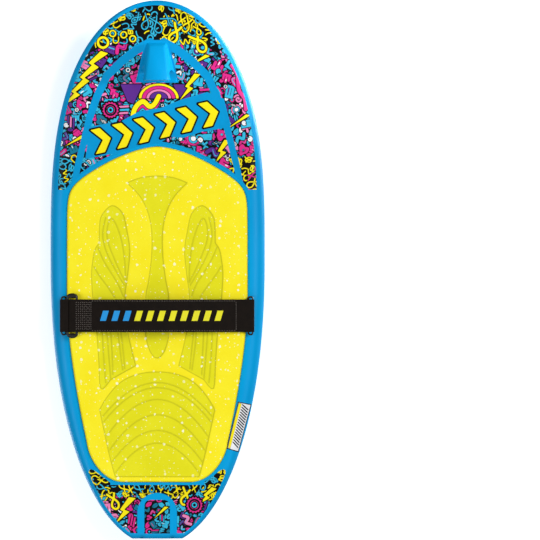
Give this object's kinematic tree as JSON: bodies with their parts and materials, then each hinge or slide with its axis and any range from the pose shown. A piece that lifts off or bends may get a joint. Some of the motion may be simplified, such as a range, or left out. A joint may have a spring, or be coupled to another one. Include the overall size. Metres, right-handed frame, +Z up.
{
  "type": "kneeboard",
  "caption": "Kneeboard with a moulded hull, a contoured knee pad, a tow hook at the nose and a padded lap strap held by rings.",
  "frame": {"origin": "on the ground under the middle of the board, which stands on the flat of its hull, deck up", "axes": "+X to the kneeling rider's right, +Y towards the nose, +Z up"},
  "size_m": [0.508, 1.2698, 0.1261],
  "materials": {
    "shell_plastic": "satin moulded polyethylene, bright blue",
    "core_foam": "closed-cell foam",
    "black_plastic": "satin moulded nylon, black",
    "seal_rubber": "matt rubber, black",
    "pad_foam": "matt moulded foam, yellow with pale flecks",
    "printed_film": "satin printed film, many colours on black",
    "label_film": "satin white film",
    "brass": "turned and knurled",
    "stainless": "bright",
    "black_wire": "black coated steel wire",
    "webbing": "woven polyester webbing, black",
    "hook_pile": "hook-and-loop pile, black",
    "thread": "bonded polyester thread, dark grey",
    "strap_foam": "closed-cell neoprene",
    "strap_fabric": "knitted nylon, black",
    "strap_ink": "screen-printed ink"
  },
  "bodies": {
    "board": {"shell": "shell_plastic", "tow_hook": "shell_plastic", "foam_core": "core_foam", "fill_plug": "black_plastic", "plug_seal": "seal_rubber", "knee_pad": "pad_foam", "nose_graphic": "printed_film", "tail_graphic": "printed_film", "rail_label": "label_film", "left_anchor": "black_plastic", "right_anchor": "black_plastic", "anchor_inserts": "brass", "anchor_washers": "stainless", "anchor_screws": "stainless"},
    "left_ring": {"left_ring": "black_wire"},
    "right_ring": {"right_ring": "black_wire"},
    "buckle": {"buckle_belt": "webbing", "buckle_ring": "black_plastic"},
    "tail": {"tail_webbing": "webbing", "hook_patch": "hook_pile", "tail_stitching": "thread"},
    "strap": {"strap_webbing": "webbing", "strap_padding": "strap_foam", "strap_cover": "strap_fabric", "loop_patch": "hook_pile", "strap_binding": "strap_fabric", "strap_stitching": "thread", "strap_print": "strap_ink"}
  },
  "joints": [
    {"name": "strap_open", "type": "hinge", "parent": "right_ring", "child": "strap", "pos_m": [0.2254, -0.108, 0.0764], "axis": [0, 1, 0], "range_deg": [0, 150]},
    {"name": "right_ring_swing", "type": "hinge", "parent": "board", "child": "right_ring", "pos_m": [0.2155, -0.108, 0.0665], "axis": [0, 1, 0], "range_deg": [0, 20]},
    {"name": "left_ring_swing", "type": "hinge", "parent": "board", "child": "left_ring", "pos_m": [-0.2155, -0.108, 0.0665], "axis": [0, 1, 0], "range_deg": [-20, 0]},
    {"name": "buckle_fold", "type": "hinge", "parent": "left_ring", "child": "buckle", "pos_m": [-0.2254, -0.108, 0.0764], "axis": [0, 1, 0], "range_deg": [-135, 0]},
    {"name": "tail_fold", "type": "hinge", "parent": "buckle", "child": "tail", "pos_m": [-0.19, -0.108, 0.078], "axis": [0, 1, 0], "range_deg": [-35, 0]}
  ],
  "couplings": [
    {"joint": "right_ring_swing", "follows": "strap_open", "ratio": 0.12},
    {"joint": "left_ring_swing", "follows": "strap_open", "ratio": -0.12},
    {"joint": "buckle_fold", "follows": "strap_open", "ratio": -0.87},
    {"joint": "tail_fold", "follows": "strap_open", "ratio": -0.2}
  ]
}
